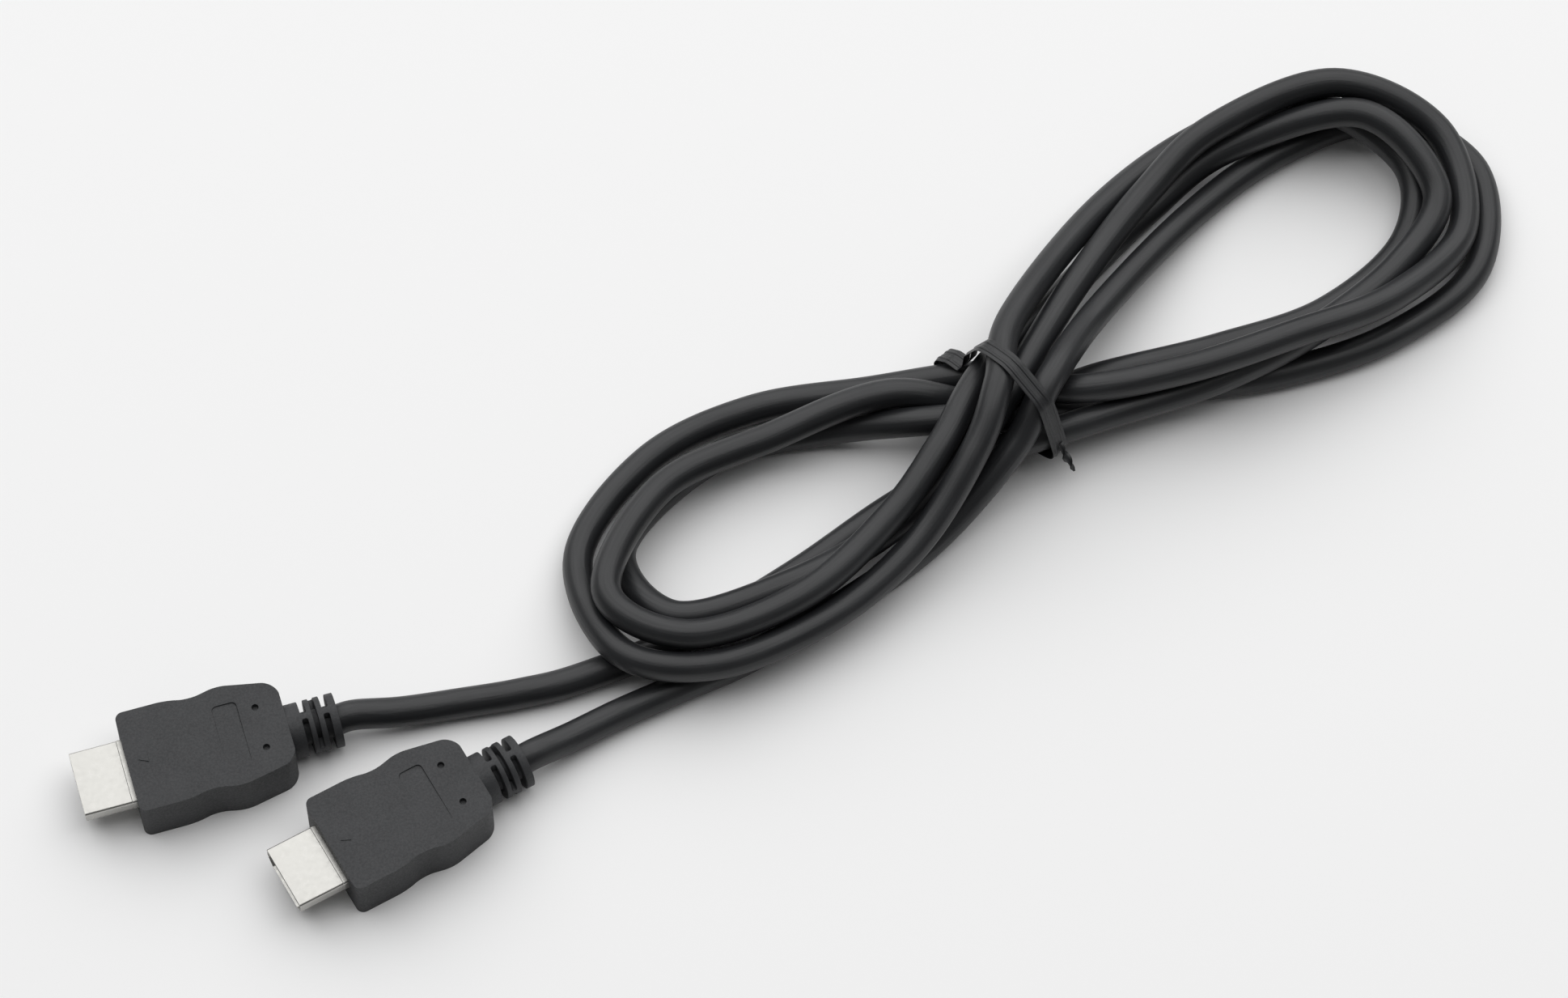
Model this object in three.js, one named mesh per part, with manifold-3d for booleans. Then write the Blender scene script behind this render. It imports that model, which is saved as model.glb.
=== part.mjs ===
// A two metre HDMI lead with a type A plug on each end, wound into a figure of eight and tied in the middle.
// Millimetres, +Z up. The lead lies on the plane z = 0, with the middle of its outline over the origin.
// A plug is drawn along +X, with its mouth at x = 0, its axis through y = z = 0 and its cable at the rear.

import * as THREE from 'three';
import { mergeVertices } from 'three/addons/utils/BufferGeometryUtils.js';
import Module from 'manifold-3d';

const wasm = await Module();
wasm.setup();

// Steel shell of the plug: a folded sheet tube with its two lower corners cut off.
const shellWidth = 13.9;
const shellHeight = 4.45;
const shellSheet = 0.3;
const shellCornerDrop = 1.75;
const shellCornerInset = 1.85;
const shellOutside = 10.3;
const shellBuried = 4;
const collarProud = 0.08;
const collarLength = 0.9;
const shellFit = 0.1;

// How far a cutting or joining solid runs past the face that it meets.
const overrun = 1;
const mergeDistance = 1e-5;

// Plastic insulator inside the shell: a block with a slot for the socket's tongue.
const insulatorSetback = 0.5;
const insulatorLength = 11.5;
const slotWidth = 11.6;
const slotHeight = 1.9;
const slotDepth = 8;

// Gold contacts: nineteen strips, staggered over the slot's two long walls.
const contactCount = 19;
const contactPitch = 0.5;
const contactWidth = 0.34;
const contactThickness = 0.16;
const contactLength = 6.6;
const contactSetback = 1.1;
const contactFit = 0.04;

// Moulded grip: a flat block with a waist and rounded edges.
const gripLength = 31.7;
const gripThickness = 11;
const gripFrontHalf = 10.9;
const gripFlankAt = 8.8;
const gripWaistHalf = 9.85;
const gripWaistAt = 14.6;
const gripShoulderHalf = 10.95;
const gripShoulderAt = 20.2;
const gripRearHalf = 9.1;
const gripFrontCorner = 1.5;
const gripRearCorner = 2.2;
const gripEdge = 1.3;
const edgeSteps = 3;
const cornerSteps = 3;
const waistSteps = 4;

// Marks moulded into the grip's top face.
const dimpleDiameter = 1.3;
const dimpleDepth = 0.8;
const dimpleAt = 26.5;
const dimpleSpacing = 8.9;
const dimpleSides = 12;
const panelFront = 18.2;
const panelLength = 5;
const panelWidth = 13.8;
const panelCorner = 1;
const panelDepth = 0.2;
const arrowTipAt = 2.3;
const arrowLength = 1.8;
const arrowWidth = 1.8;
const arrowProud = 0.15;

// Strain relief of the same moulding: a collar, then three rings on a thin sleeve. Two ribs bridge each gap:
// above and below the sleeve in the first and last gaps, and at its sides in the middle one.
const reliefDiameter = 10.8;
const sleeveDiameter = 6.4;
const reliefCollar = 2.8;
const ringWidths = [1, 1.1, 1.6];
const ringGaps = [1.2, 1, 1.2];
const ribWidth = 1.3;
const ribInset = 0.1;
const ribAngles = [[0, 180], [90, 270], [0, 180]];
const reliefSides = 32;

// Cable.
const cableDiameter = 6;
const cableSides = 10;
const cableSteps = 128;
const cableFit = 0.3;
const cableStraight = 4.8;
const routeTension = 0.5;
const routeDivisions = 2000;

// Twist tie: two turns of a flat strip about the crossing, and its twisted ends.
const tieWidth = 4;
const tieThickness = 0.5;
const tieMiddle = [45.8, 15.8];
const tieAngle = -44;
const twistLength = 7;
const twistWidth = 2.4;
const twistThickness = 1.2;
const twistTurns = 0.75;
const twistSteps = 6;
const twistLean = 50;
const twistLap = twistLength / 4;
const twistCorner = 14;

// Where each plug lies: the end of its strain relief and the way its axis turns on the floor.
const reliefEndA = [-86.03, -53];
const reliefEndB = [-50.1, -61.25];
const plugTurnA = 17.7;
const plugTurnB = 30.9;

// Middle of the outline of everything, measured in the frame that the points below are given in.
const outlineMiddle = [4.115, -0.61];

// The cable's route from plug A's relief to plug B's: tail, then right and left loops in turn, then tail.
const route = [
  [-74, -50.4, 4], [-63, -48, 3.1], [-51, -45.6, 3.1],
  [-39, -42, 3.1], [-17.5, -32, 3.1], [2.5, -18.5, 3.1],
  [21.5, -3.5, 3.5], [40, 6.5, 7], [63, 14.5, 9.5], [85.5, 23, 9.5],
  [105.5, 35, 8.5], [124, 51.5, 8.5], [132, 68, 10.5], [116.5, 83, 15.5],
  [89.5, 79, 7], [73, 66, 3.1], [55.5, 44.5, 6], [39.5, 21, 16],
  [31, 4, 16.5], [21, -11, 14], [4, -28, 12.5], [-18.5, -37, 12.5],
  [-34.5, -27.5, 12.5], [-24.5, -3.5, 10], [-3, 8.5, 10], [20.5, 18, 11.5],
  [43, 19.5, 4.1], [64, 27.5, 3.2], [87.5, 34.5, 3.1], [109.5, 43.5, 3.1],
  [126, 60, 3.5], [126, 77, 7], [105, 89.5, 9.5], [83, 83.5, 3.1],
  [62.5, 63, 7.5], [45, 31.5, 19], [42, 14.5, 22.5], [37.5, 1.5, 18.5],
  [26, -15.5, 10.5], [9, -31, 8.5], [-13, -42, 9.5], [-32, -39, 9.5],
  [-40.5, -15.5, 3.6], [-27.5, 6.5, 3.3], [-7, 18.5, 3.1], [16.5, 23, 3.5],
  [39.5, 25, 7], [57.5, 18.5, 13.5], [79, 21.5, 16.5], [101, 30.5, 15.5],
  [122.5, 42, 12], [137.5, 61, 7], [133, 83, 9.5], [111.5, 90, 16],
  [87, 81, 12.5], [72.5, 66.5, 9.5], [58, 43.5, 12], [46, 19.5, 16.5],
  [35.5, 3, 12.5], [20, -11, 7], [0, -24.5, 9], [-21.5, -31, 9],
  [-32, -13.5, 3.5], [-15, 6.5, 3.5], [7, 13.5, 3.5], [31, 13, 10],
  [53, 17, 6], [77.5, 24, 3.5], [101, 29, 3.1], [123, 38, 3.1],
  [140.5, 54, 3.1], [141, 77.5, 3.1], [122.5, 89, 3.1], [101, 81, 3.1],
  [82, 64.5, 4], [62.5, 37.5, 11.5], [52.5, 17.5, 19.5], [45.5, 5.5, 13],
  [30.5, -10, 4], [13, -24.5, 3.2], [-7, -37.5, 3.1],
  [-19, -43.5, 3.1], [-31, -49.5, 3.1], [-40.5, -55.2, 3.8],
];

// The tie's inner outline in its own upright plane, along it and up, just clear of the strands all round.
const tieInside = [
  [-9.6, 23.4], [-12.4, 17.5], [-12.6, 13.5], [-13.8, 10.1], [-17, 9.6], [-19.6, 7.4],
  [-20.2, 5.2], [-19.5, 3.3], [-17.8, 2.4], [-3.3, 0.5], [-1.5, 0.75], [10, 5.7],
  [11.6, 6.8], [12.3, 8.3], [12.2, 9.8], [8.9, 18.4], [7.7, 20.9], [6.4, 22],
  [-0.8, 25.4], [-2.8, 25.8], [-6.2, 25.1], [-8.6, 24.2],
];

const degrees = Math.PI / 180;
const gripRearAt = shellOutside + gripLength;
const total = (widths) => widths.reduce((sum, width) => sum + width);
const reliefLength = reliefCollar + total(ringGaps) + total(ringWidths);
const plugLength = gripRearAt + reliefLength;
const axisHeight = gripThickness / 2;
const plugPlaces = [
  { name: 'plug_a', reliefEnd: reliefEndA, turn: plugTurnA },
  { name: 'plug_b', reliefEnd: reliefEndB, turn: plugTurnB },
];

// Finishes.
const gripFinish = new THREE.MeshStandardMaterial({ color: 0x2c2d2f, roughness: 0.7 });
const steelFinish = new THREE.MeshStandardMaterial({ color: 0xd6d6d2, roughness: 0.3, metalness: 1 });
const insulatorFinish = new THREE.MeshStandardMaterial({ color: 0x17181a, roughness: 0.5 });
const goldFinish = new THREE.MeshStandardMaterial({ color: 0xd9a940, roughness: 0.25, metalness: 1 });
const cableFinish = new THREE.MeshStandardMaterial({ color: 0x26272a, roughness: 0.45 });
const tieFinish = new THREE.MeshStandardMaterial({ color: 0x232426, roughness: 0.5 });

// A closed geometry as a solid that can be cut and joined.
function solid(geometry) {
  const bare = geometry.clone();
  bare.deleteAttribute('normal');
  bare.deleteAttribute('uv');
  const merged = mergeVertices(bare, mergeDistance);
  return new wasm.Manifold(new wasm.Mesh({
    numProp: 3,
    vertProperties: new Float32Array(merged.attributes.position.array),
    triVerts: new Uint32Array(merged.index.array),
  }));
}

// A solid back as a geometry.
function geometryOf(body) {
  const mesh = body.getMesh();
  const geometry = new THREE.BufferGeometry();
  geometry.setAttribute('position', new THREE.BufferAttribute(new Float32Array(mesh.vertProperties), 3));
  geometry.setIndex(new THREE.BufferAttribute(new Uint32Array(mesh.triVerts), 1));
  geometry.computeVertexNormals();
  return geometry;
}

// A section drawn in the Y-Z plane, carried along +X from one place to another.
function alongX(shape, from, to) {
  const geometry = new THREE.ExtrudeGeometry(shape, { depth: to - from, bevelEnabled: false });
  geometry.rotateX(Math.PI / 2);
  geometry.rotateZ(Math.PI / 2);
  geometry.translate(from, 0, 0);
  return solid(geometry);
}

function boxAt(lengthX, widthY, heightZ, x, y, z) {
  return solid(new THREE.BoxGeometry(lengthX, widthY, heightZ).translate(x, y, z));
}

// The shell's section, grown or shrunk all round by a margin.
function shellSection(margin) {
  const half = shellWidth / 2 + margin;
  const top = shellHeight / 2 + margin;
  const slope = Math.atan2(shellCornerDrop, shellCornerInset);
  const cornerShift = margin * Math.tan(slope / 2);
  const sideFoot = -shellHeight / 2 + shellCornerDrop - margin * Math.tan((Math.PI / 2 - slope) / 2);
  const footHalf = shellWidth / 2 - shellCornerInset + cornerShift;
  const shape = new THREE.Shape();
  shape.moveTo(-half, top);
  shape.lineTo(-half, sideFoot);
  shape.lineTo(-footHalf, -top);
  shape.lineTo(footHalf, -top);
  shape.lineTo(half, sideFoot);
  shape.lineTo(half, top);
  shape.closePath();
  return shape;
}

function makeShell() {
  const rear = shellOutside + shellBuried;
  const tube = alongX(shellSection(0), 0, rear);
  const collar = alongX(shellSection(collarProud), shellOutside - collarLength, shellOutside - shellFit);
  const inside = alongX(shellSection(-shellSheet), -overrun, rear + overrun);
  return geometryOf(tube.add(collar).subtract(inside));
}

function makeInsulator() {
  const section = shellSection(-shellSheet - shellFit);
  const block = alongX(section, insulatorSetback, insulatorSetback + insulatorLength);
  const slotEnd = insulatorSetback + slotDepth;
  const slot = boxAt(slotEnd + overrun, slotWidth, slotHeight, (slotEnd - overrun) / 2, 0, 0);
  return geometryOf(block.subtract(slot));
}

// Odd contacts lie on the slot's upper wall and even ones on the lower wall, half a step apart.
function makeContact(index) {
  const upper = index % 2 === 0;
  const y = (index - (contactCount - 1) / 2) * contactPitch;
  const z = slotHeight / 2 - contactFit - contactThickness / 2;
  const geometry = new THREE.BoxGeometry(contactLength, contactWidth, contactThickness);
  return geometry.translate(insulatorSetback + contactSetback + contactLength / 2, y, upper ? z : -z);
}

// The grip's outline seen from above: square front corners, a waist, shoulders and a rounded rear.
function gripOutline(inset) {
  const front = shellOutside + inset;
  const rear = gripRearAt - inset;
  const flank = shellOutside + gripFlankAt;
  const waist = shellOutside + gripWaistAt;
  const shoulder = shellOutside + gripShoulderAt;
  const flankMiddle = (flank + waist) / 2;
  const waistMiddle = (waist + shoulder) / 2;
  const frontHalf = gripFrontHalf - inset;
  const waistHalf = gripWaistHalf - inset;
  const shoulderHalf = gripShoulderHalf - inset;
  const rearHalf = gripRearHalf - inset;
  const shape = new THREE.Shape();
  shape.moveTo(front, 0);
  shape.lineTo(front, frontHalf - gripFrontCorner);
  shape.quadraticCurveTo(front, frontHalf, front + gripFrontCorner, frontHalf);
  shape.lineTo(flank, frontHalf);
  shape.bezierCurveTo(flankMiddle, frontHalf, flankMiddle, waistHalf, waist, waistHalf);
  shape.bezierCurveTo(waistMiddle, waistHalf, waistMiddle, shoulderHalf, shoulder, shoulderHalf);
  shape.lineTo(rear - gripRearCorner, rearHalf);
  shape.quadraticCurveTo(rear, rearHalf - gripRearCorner / 4, rear, rearHalf - gripRearCorner);
  shape.lineTo(rear, -rearHalf + gripRearCorner);
  shape.quadraticCurveTo(rear, -rearHalf + gripRearCorner / 4, rear - gripRearCorner, -rearHalf);
  shape.lineTo(shoulder, -shoulderHalf);
  shape.bezierCurveTo(waistMiddle, -shoulderHalf, waistMiddle, -waistHalf, waist, -waistHalf);
  shape.bezierCurveTo(flankMiddle, -waistHalf, flankMiddle, -frontHalf, flank, -frontHalf);
  shape.lineTo(front + gripFrontCorner, -frontHalf);
  shape.quadraticCurveTo(front, -frontHalf, front, -frontHalf + gripFrontCorner);
  shape.closePath();
  return shape;
}

function makeGripBlock() {
  const geometry = new THREE.ExtrudeGeometry(gripOutline(gripEdge), {
    depth: gripThickness - 2 * gripEdge,
    bevelEnabled: true,
    bevelSize: gripEdge,
    bevelThickness: gripEdge,
    bevelSegments: edgeSteps,
    curveSegments: waistSteps,
  });
  geometry.translate(0, 0, gripEdge - gripThickness / 2);
  return solid(geometry);
}

function discAlongX(diameter, from, to) {
  const geometry = new THREE.CylinderGeometry(diameter / 2, diameter / 2, to - from, reliefSides);
  geometry.rotateZ(Math.PI / 2);
  return solid(geometry.translate((from + to) / 2, 0, 0));
}

// Collar, sleeve, rings and the ribs that bridge the gaps between them.
function makeRelief() {
  const root = gripRearAt - gripEdge - overrun;
  const lastRingMiddle = plugLength - ringWidths[ringWidths.length - 1] / 2;
  let body = discAlongX(reliefDiameter, root, gripRearAt + reliefCollar);
  body = body.add(discAlongX(sleeveDiameter, root, lastRingMiddle));
  let at = gripRearAt + reliefCollar;
  ringWidths.forEach((width, ring) => {
    const gap = ringGaps[ring];
    for (const angle of ribAngles[ring]) {
      const reach = reliefDiameter / 2 - ribInset;
      const rib = new THREE.BoxGeometry(gap + width, ribWidth, reach).translate(at + gap / 2, 0, reach / 2);
      body = body.add(solid(rib.rotateX(angle * degrees)));
    }
    at += gap;
    body = body.add(discAlongX(reliefDiameter, at, at + width));
    at += width;
  });
  return body;
}

function makePanelCut() {
  const half = panelWidth / 2;
  const shape = new THREE.Shape();
  shape.moveTo(panelCorner, -half);
  shape.lineTo(panelLength - panelCorner, -half);
  shape.quadraticCurveTo(panelLength, -half, panelLength, -half + panelCorner);
  shape.lineTo(panelLength, half - panelCorner);
  shape.quadraticCurveTo(panelLength, half, panelLength - panelCorner, half);
  shape.lineTo(panelCorner, half);
  shape.quadraticCurveTo(0, half, 0, half - panelCorner);
  shape.lineTo(0, -half + panelCorner);
  shape.quadraticCurveTo(0, -half, panelCorner, -half);
  const geometry = new THREE.ExtrudeGeometry(shape, {
    depth: panelDepth + overrun,
    bevelEnabled: false,
    curveSegments: cornerSteps,
  });
  return solid(geometry.translate(shellOutside + panelFront, 0, gripThickness / 2 - panelDepth));
}

// A small pointer towards the mouth, standing proud of the top face.
function makeArrow() {
  const shape = new THREE.Shape();
  shape.moveTo(0, 0);
  shape.lineTo(arrowLength, -arrowWidth / 2);
  shape.lineTo(arrowLength, arrowWidth / 2);
  shape.closePath();
  const geometry = new THREE.ExtrudeGeometry(shape, { depth: arrowProud + overrun, bevelEnabled: false });
  return solid(geometry.translate(shellOutside + arrowTipAt, 0, gripThickness / 2 - overrun));
}

function makeDimpleCut(side) {
  const radius = dimpleDiameter / 2;
  const geometry = new THREE.CylinderGeometry(radius, radius, 2 * dimpleDepth, dimpleSides);
  geometry.rotateX(Math.PI / 2);
  return solid(geometry.translate(shellOutside + dimpleAt, side * dimpleSpacing / 2, gripThickness / 2));
}

function makeGrip() {
  const pocketEnd = shellOutside + shellBuried + shellFit;
  const pocket = alongX(shellSection(shellFit), shellOutside - overrun, pocketEnd);
  let body = makeGripBlock().add(makeRelief()).subtract(pocket);
  for (const side of [-1, 1]) {
    body = body.subtract(makeDimpleCut(side));
  }
  return geometryOf(body.subtract(makePanelCut()).add(makeArrow()));
}

// A point on a plug's axis, a given way behind its mouth.
function onPlugAxis(place, distance) {
  const turn = place.turn * degrees;
  const x = place.reliefEnd[0] + (distance - plugLength) * Math.cos(turn);
  const y = place.reliefEnd[1] + (distance - plugLength) * Math.sin(turn);
  return [x, y, axisHeight];
}

function addPlug(parent, place, geometries) {
  const plug = new THREE.Group();
  plug.position.set(...onPlugAxis(place, 0));
  plug.rotation.z = place.turn * degrees;
  const add = (name, geometry, finish) => {
    const mesh = new THREE.Mesh(geometry, finish);
    mesh.name = `${place.name}_${name}`;
    plug.add(mesh);
  };
  add('grip', geometries.grip, gripFinish);
  add('shell', geometries.shell, steelFinish);
  add('insulator', geometries.insulator, insulatorFinish);
  for (let index = 0; index < contactCount; index += 1) {
    add(`contact_${String(index + 1).padStart(2, '0')}`, makeContact(index), goldFinish);
  }
  parent.add(plug);
}

// The route starts and ends on the plugs' axes, so that the cable leaves each relief straight.
function makeCable() {
  const [plugA, plugB] = plugPlaces;
  const start = plugLength + cableFit;
  const straight = start + cableStraight;
  const points = [
    onPlugAxis(plugA, start), onPlugAxis(plugA, straight),
    ...route,
    onPlugAxis(plugB, straight), onPlugAxis(plugB, start),
  ].map((point) => new THREE.Vector3(...point));
  const path = new THREE.CatmullRomCurve3(points, false, 'catmullrom', routeTension);
  path.arcLengthDivisions = routeDivisions;
  const section = new THREE.Shape();
  for (let side = 0; side < cableSides; side += 1) {
    const angle = (side + 0.5) / cableSides * 2 * Math.PI;
    const x = cableDiameter / 2 * Math.cos(angle);
    const y = cableDiameter / 2 * Math.sin(angle);
    if (side === 0) {
      section.moveTo(x, y);
    } else {
      section.lineTo(x, y);
    }
  }
  section.closePath();
  return new THREE.ExtrudeGeometry(section, { steps: cableSteps, extrudePath: path, bevelEnabled: false });
}

// The outline moved outwards by the strip's thickness, corner by corner.
function offsetOutline(points, distance) {
  return points.map((point, index) => {
    const before = points[(index + points.length - 1) % points.length];
    const after = points[(index + 1) % points.length];
    const sideA = new THREE.Vector2(point[1] - before[1], before[0] - point[0]).normalize();
    const sideB = new THREE.Vector2(after[1] - point[1], point[0] - after[0]).normalize();
    const corner = sideA.clone().add(sideB).normalize();
    const reach = distance / corner.dot(sideA);
    return [point[0] + corner.x * reach, point[1] + corner.y * reach];
  });
}

// The strip round the strands, drawn in its upright plane and carried along the strands by its width.
function makeTieBand() {
  const toVectors = (points) => points.map(([along, up]) => new THREE.Vector2(along, up));
  const shape = new THREE.Shape(toVectors(offsetOutline(tieInside, tieThickness)));
  shape.holes.push(new THREE.Path(toVectors(tieInside)));
  const geometry = new THREE.ExtrudeGeometry(shape, { depth: tieWidth, bevelEnabled: false });
  geometry.rotateX(Math.PI / 2);
  return solid(geometry.translate(0, tieWidth / 2, 0));
}

// The strip's two ends, twisted together and lying against the strands at the band's lower end.
function makeTwist() {
  const geometry = new THREE.BoxGeometry(twistLength, twistWidth, twistThickness, twistSteps, 1, 1);
  const position = geometry.attributes.position;
  for (let index = 0; index < position.count; index += 1) {
    const turn = (position.getX(index) / twistLength) * twistTurns * Math.PI;
    const y = position.getY(index);
    const z = position.getZ(index);
    position.setY(index, y * Math.cos(turn) - z * Math.sin(turn));
    position.setZ(index, y * Math.sin(turn) + z * Math.cos(turn));
  }
  const [along, up] = tieInside[twistCorner];
  geometry.rotateY(twistLean * degrees);
  return solid(geometry.translate(along + tieThickness + twistLap, 0, up - twistLap));
}

const lead = new THREE.Group();
lead.name = 'hdmi_lead';
lead.position.set(-outlineMiddle[0], -outlineMiddle[1], 0);

const plugGeometries = { grip: makeGrip(), shell: makeShell(), insulator: makeInsulator() };
for (const place of plugPlaces) {
  addPlug(lead, place, plugGeometries);
}

const cable = new THREE.Mesh(makeCable(), cableFinish);
cable.name = 'cable';
lead.add(cable);

const tie = new THREE.Mesh(geometryOf(makeTieBand().add(makeTwist())), tieFinish);
tie.name = 'twist_tie';
tie.position.set(tieMiddle[0], tieMiddle[1], 0);
tie.rotation.z = tieAngle * degrees;
lead.add(tie);

export default lead;
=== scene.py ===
import math

import bmesh
import bpy
from mathutils import Matrix, Vector


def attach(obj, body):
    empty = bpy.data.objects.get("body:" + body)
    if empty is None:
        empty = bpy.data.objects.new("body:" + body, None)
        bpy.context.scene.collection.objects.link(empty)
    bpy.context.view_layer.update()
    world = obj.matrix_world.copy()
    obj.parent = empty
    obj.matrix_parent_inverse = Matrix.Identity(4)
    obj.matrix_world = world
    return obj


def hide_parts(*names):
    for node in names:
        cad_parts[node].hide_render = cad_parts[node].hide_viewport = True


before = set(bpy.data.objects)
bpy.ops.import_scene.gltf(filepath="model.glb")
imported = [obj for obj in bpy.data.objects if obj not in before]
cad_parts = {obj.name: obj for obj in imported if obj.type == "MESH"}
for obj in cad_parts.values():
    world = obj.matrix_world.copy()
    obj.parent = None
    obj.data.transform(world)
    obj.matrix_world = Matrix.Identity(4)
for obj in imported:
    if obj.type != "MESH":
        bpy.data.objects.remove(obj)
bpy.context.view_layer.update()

# Camera. It looks down on the lead from in front through a long lens, turned a little about its own
# axis, at the point of the floor that the picture's middle shows.
MM = 0.001
OUTLINE_MIDDLE = Vector((4.115, -0.61, 0))
CAMERA_TARGET = -OUTLINE_MIDDLE * MM
CAMERA_DISTANCE = 1131.6 * MM
CAMERA_ELEVATION = math.radians(61.56)
CAMERA_ROLL = math.radians(0.782)
CAMERA_LENS = 130.16
CAMERA_SENSOR = 36
CAMERA_NEAR = 0.01
CAMERA_FAR = 20

camera = bpy.data.objects.new("camera", bpy.data.cameras.new("camera"))
camera.data.sensor_width = CAMERA_SENSOR
camera.data.lens = CAMERA_LENS
camera.data.clip_start = CAMERA_NEAR
camera.data.clip_end = CAMERA_FAR
tilt = Matrix.Rotation(math.pi / 2 - CAMERA_ELEVATION, 4, "X")
roll = Matrix.Rotation(CAMERA_ROLL, 4, "Z")
backwards = Vector((0, -math.cos(CAMERA_ELEVATION), math.sin(CAMERA_ELEVATION)))
camera.matrix_world = Matrix.Translation(CAMERA_TARGET + backwards * CAMERA_DISTANCE) @ tilt @ roll
bpy.context.scene.collection.objects.link(camera)
bpy.context.scene.camera = camera

# Cable. A round lead in an extruded black PVC jacket, 6 mm across, with a satin face. It runs from one
# plug's strain relief to the other's: first tail, right and left loops in turn, last tail.
CABLE_DIAMETER = 6
CABLE_ROUNDNESS = 12
ROUTE_STEPS = 16
SAME_POINT = 0.002
AXIS_HEIGHT = 5.5
PLUG_LENGTH = 51.9
CABLE_BURIED = 0.3
CABLE_STRAIGHT = 55.5
# Where the end of each plug's strain relief lies, and the way that the plug is turned.
PLUGS = {
    "plug_a": (Vector((-86.03, -53, AXIS_HEIGHT)), math.radians(17.7)),
    "plug_b": (Vector((-50.1, -61.25, AXIS_HEIGHT)), math.radians(30.9)),
}
ROUTE = [
    (-74, -50.4, 4), (-63, -48, 3.1), (-51, -45.6, 3.1),
    (-39, -42, 3.1), (-17.5, -32, 3.1), (2.5, -18.5, 3.1),
    (21.5, -3.5, 3.5), (40, 6.5, 7), (63, 14.5, 9.5), (85.5, 23, 9.5),
    (105.5, 35, 8.5), (124, 51.5, 8.5), (132, 68, 10.5), (116.5, 83, 15.5),
    (89.5, 79, 7), (73, 66, 3.1), (55.5, 44.5, 6), (39.5, 21, 16),
    (31, 4, 16.5), (21, -11, 14), (4, -28, 12.5), (-18.5, -37, 12.5),
    (-34.5, -27.5, 12.5), (-24.5, -3.5, 10), (-3, 8.5, 10), (20.5, 18, 11.5),
    (43, 19.5, 4.1), (64, 27.5, 3.2), (87.5, 34.5, 3.1), (109.5, 43.5, 3.1),
    (126, 60, 3.5), (126, 77, 7), (105, 89.5, 9.5), (83, 83.5, 3.1),
    (62.5, 63, 7.5), (45, 31.5, 19), (42, 14.5, 22.5), (37.5, 1.5, 18.5),
    (26, -15.5, 10.5), (9, -31, 8.5), (-13, -42, 9.5), (-32, -39, 9.5),
    (-40.5, -15.5, 3.6), (-27.5, 6.5, 3.3), (-7, 18.5, 3.1), (16.5, 23, 3.5),
    (39.5, 25, 7), (57.5, 18.5, 13.5), (79, 21.5, 16.5), (101, 30.5, 15.5),
    (122.5, 42, 12), (137.5, 61, 7), (133, 83, 9.5), (111.5, 90, 16),
    (87, 81, 12.5), (72.5, 66.5, 9.5), (58, 43.5, 12), (46, 19.5, 16.5),
    (35.5, 3, 12.5), (20, -11, 7), (0, -24.5, 9), (-21.5, -31, 9),
    (-32, -13.5, 3.5), (-15, 6.5, 3.5), (7, 13.5, 3.5), (31, 13, 10),
    (53, 17, 6), (77.5, 24, 3.5), (101, 29, 3.1), (123, 38, 3.1),
    (140.5, 54, 3.1), (141, 77.5, 3.1), (122.5, 89, 3.1), (101, 81, 3.1),
    (82, 64.5, 4), (62.5, 37.5, 11.5), (52.5, 17.5, 19.5), (45.5, 5.5, 13),
    (30.5, -10, 4), (13, -24.5, 3.2), (-7, -37.5, 3.1),
    (-19, -43.5, 3.1), (-31, -49.5, 3.1), (-40.5, -55.2, 3.8),
]
JACKET_COLOUR = "1f2022"
JACKET_DARK = "1b1c1e"
JACKET_LIGHT = "242527"
JACKET_ROUGHNESS = 0.42
JACKET_DULLNESS = (0.36, 0.5)
JACKET_STRETCH = (60, 14, 1)
JACKET_DRAG = 3
JACKET_DRAG_DEPTH = 0.04
JACKET_GRAIN = 2600
JACKET_GRAIN_DEPTH = 0.02
JACKET_CLOUDS = 60
SCREEN_DARKEST = 0.04045


def linear(code):
    """A colour as the shader takes it, from the six figures that a screen shows it by."""
    parts = [int(code[at:at + 2], 16) / 255 for at in (0, 2, 4)]
    return (*[p / 12.92 if p <= SCREEN_DARKEST else ((p + 0.055) / 1.055) ** 2.4 for p in parts], 1)


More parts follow.
